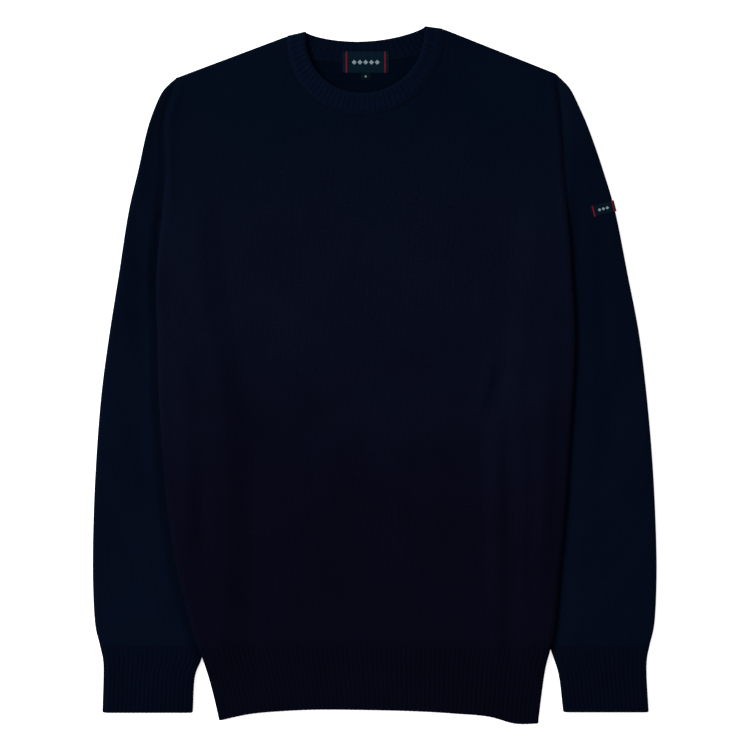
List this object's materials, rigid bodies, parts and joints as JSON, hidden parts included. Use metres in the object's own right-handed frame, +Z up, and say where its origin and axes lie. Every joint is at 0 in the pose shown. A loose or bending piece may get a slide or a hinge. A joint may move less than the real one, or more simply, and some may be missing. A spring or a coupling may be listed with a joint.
{
  "type": "crewneck sweater",
  "caption": "Fine-knit crewneck sweater laid out flat on its back, sleeves straight down and tucked partly under the body, with ribbed neckband, cuffs and hem.",
  "frame": {"origin": "under the middle of the outline, on the surface the sweater lies on", "axes": "+X to the wearer's left (the right of the picture), +Y towards the neck, +Z up out of the front of the sweater"},
  "size_m": [0.5626, 0.6957, 0.014],
  "materials": {
    "jersey": "fine wool jersey, near-black navy, matt with a faint nap",
    "rib": "fine wool rib knit, near-black navy, matt",
    "woven_label": "damask woven label, dark teal, slight lustre",
    "woven_tab": "woven ribbon tab, dark grey-blue"
  },
  "bodies": {
    "root": {"front_panel": "jersey", "back_panel": "jersey", "sleeve_right": "jersey", "sleeve_left": "jersey", "cuff_right": "rib", "cuff_left": "rib", "hem_rib_front": "rib", "hem_rib_back": "rib", "neck_rib": "rib", "neck_label": "woven_label", "size_tab": "woven_tab", "sleeve_label": "woven_label"}
  },
  "joints": []
}
